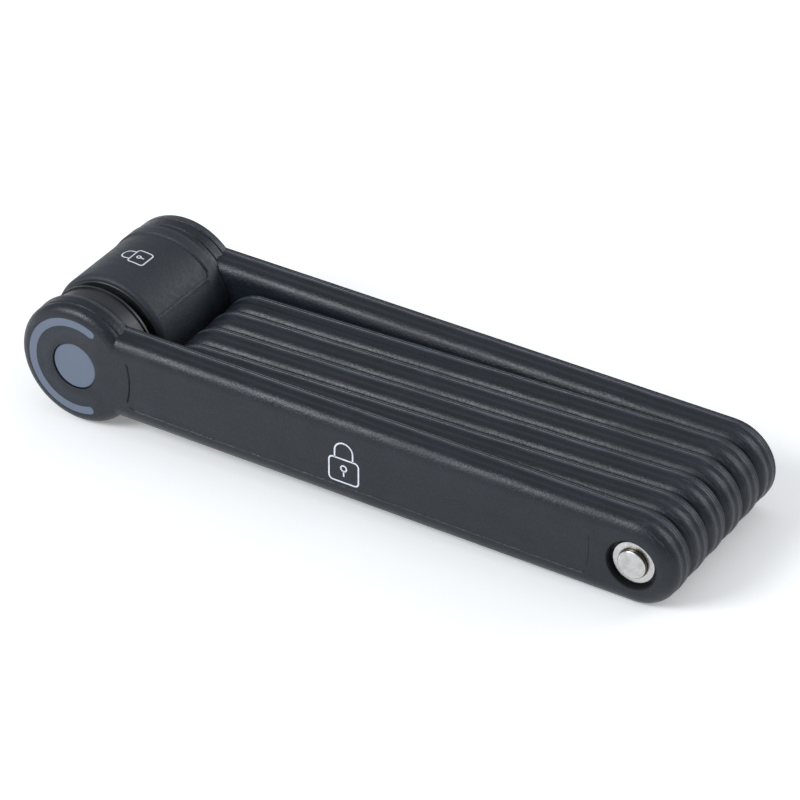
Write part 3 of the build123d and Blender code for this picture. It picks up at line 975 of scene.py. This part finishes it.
def make_materials():
    """One material for each of the record's slots, and one for the icons."""
    return {
        "link_rubber": rubber("link_rubber", (0.0065, 0.0095, 0.0145), (0.0095, 0.0135, 0.02), 0.38),
        "sleeve_rubber": rubber(
            "sleeve_rubber", (0.019, 0.023, 0.03), (0.024, 0.029, 0.037), 0.5, 0.4, 0.3, of_links=False
        ),
        "black_plastic": plastic("black_plastic", (0.008, 0.0095, 0.012), (0.012, 0.014, 0.017), 0.4),
        "grey_plastic": plastic("grey_plastic", (0.085, 0.106, 0.152), (0.097, 0.121, 0.171), 0.5),
        "hardened_steel": metal("hardened_steel", (0.05, 0.05, 0.055), (0.09, 0.09, 0.095), 0.5),
        "rivet_steel": metal("rivet_steel", (0.52, 0.51, 0.5), (0.68, 0.67, 0.655), 0.26, True, 0.5, BOSS),
        "washer_steel": metal("washer_steel", (0.45, 0.45, 0.45), (0.56, 0.56, 0.56), 0.34, True),
        "core_steel": metal("core_steel", (0.5, 0.48, 0.44), (0.62, 0.6, 0.56), 0.3, True),
        "bolt_steel": metal("bolt_steel", (0.62, 0.62, 0.63), (0.74, 0.74, 0.75), 0.2, True, 0.25),
        "spring_steel": metal("spring_steel", (0.36, 0.36, 0.37), (0.46, 0.46, 0.47), 0.32),
        "brass": metal("brass", (0.6, 0.42, 0.17), (0.74, 0.55, 0.26), 0.28, True),
        "ink": ink("ink"),
    }


def dress(thing, material):
    thing.data.materials.clear()
    thing.data.materials.append(material)


def dress_cad(materials):
    """Gives every CAD node the material of its slot."""
    for part in frame["record"]["subparts"]:
        thing, material = frame["nodes"][part["node"]], materials[part["material_slot"]]
        for slot in thing.material_slots:
            slot.material = material
        if not thing.material_slots:
            thing.data.materials.append(material)


# ---- setting ----
def floor_material():
    paint = Paint("studio_floor")
    tone = paint.ramp(paint.noise(60.0), 0.0, 1.0)
    paint.set("Base Color", paint.mix(tone, (0.93, 0.93, 0.93), (0.95, 0.95, 0.95)))
    paint.set("Roughness", 0.75)
    paint.set("Specular IOR Level", 0.1)
    paint.shader.inputs["Emission Color"].default_value = (1.0, 1.0, 1.0, 1.0)
    paint.set("Emission Strength", 0.21)
    return paint.material


def build_floor():
    size = 3.0
    mesh = bpy.data.meshes.new("floor")
    corners = [(-size, -size, 0), (size, -size, 0), (size, size, 0), (-size, size, 0)]
    mesh.from_pydata(corners, [], [(0, 1, 2, 3)])
    mesh.materials.append(floor_material())
    floor = bpy.data.objects.new("floor", mesh)
    bpy.context.scene.collection.objects.link(floor)


def area_light(name, spot, aim, size, power, colour):
    """A rectangular lamp, in metres and watts, turned towards aim."""
    data = bpy.data.lights.new(name, "AREA")
    data.shape = "RECTANGLE"
    data.size, data.size_y = size
    data.energy = power
    data.color = colour
    lamp = bpy.data.objects.new(name, data)
    lamp.location = Vector(spot)
    lamp.rotation_mode = "QUATERNION"
    lamp.rotation_quaternion = (Vector(aim) - Vector(spot)).to_track_quat("-Z", "Y")
    bpy.context.scene.collection.objects.link(lamp)


def build_lights():
    world = bpy.data.worlds.new("studio")
    world.use_nodes = True
    back = world.node_tree.nodes["Background"]
    back.inputs["Color"].default_value = (0.93, 0.96, 1.0, 1.0)
    back.inputs["Strength"].default_value = 0.46
    bpy.context.scene.world = world
    area_light("key_light", (-0.58, -0.86, 0.78), (0, 0, 0.02), (0.62, 0.5), 12.0, (0.93, 0.965, 1.0))
    area_light("side_light", (0.62, 0.86, 0.5), (0, 0, 0.02), (0.8, 0.45), 4.6, (0.93, 0.965, 1.0))
    area_light("top_light", (0.1, 0.2, 1.4), (0, 0, 0), (1.2, 1.0), 1.4, (0.96, 0.98, 1.0))


def build_camera():
    """A long lens at the right of the front, looking down on the middle of the folded lock."""
    turn, lift, roll = (math.radians(angle) for angle in (32.439, 33.230, -1.754))
    distance = 983.04
    middle_y = (FRONT + box_mm("link_cover_6")[1].y) / 2
    target = Vector((LOCK.x + 82.0, middle_y, LOCK.z + 0.71))
    away = Vector((math.sin(turn) * math.cos(lift), -math.cos(turn) * math.cos(lift), math.sin(lift)))
    side = Vector((0, 0, 1)).cross(away).normalized()
    over = away.cross(side)
    right = side * math.cos(roll) + over * math.sin(roll)
    up = over * math.cos(roll) - side * math.sin(roll)
    data = bpy.data.cameras.new("camera")
    data.sensor_width, data.lens = 36.0, 175.35
    data.clip_start, data.clip_end = 0.05, 20.0
    camera = bpy.data.objects.new("camera", data)
    turned = Matrix((right, up, away)).transposed()
    camera.matrix_world = Matrix.Translation((target + away * distance) * MM) @ turned.to_4x4()
    bpy.context.scene.collection.objects.link(camera)
    bpy.context.scene.camera = camera


def main():
    materials = make_materials()
    dress_cad(materials)
    for number in range(1, LINK_COUNT + 1):
        dress(build_cover(number), materials["link_rubber"])
    dress(build_sleeve(), materials["sleeve_rubber"])
    for icon in build_icons():
        dress(icon, materials["ink"])
    build_floor()
    build_lights()
    build_camera()
    bpy.context.scene.view_settings.view_transform = "Standard"


main()
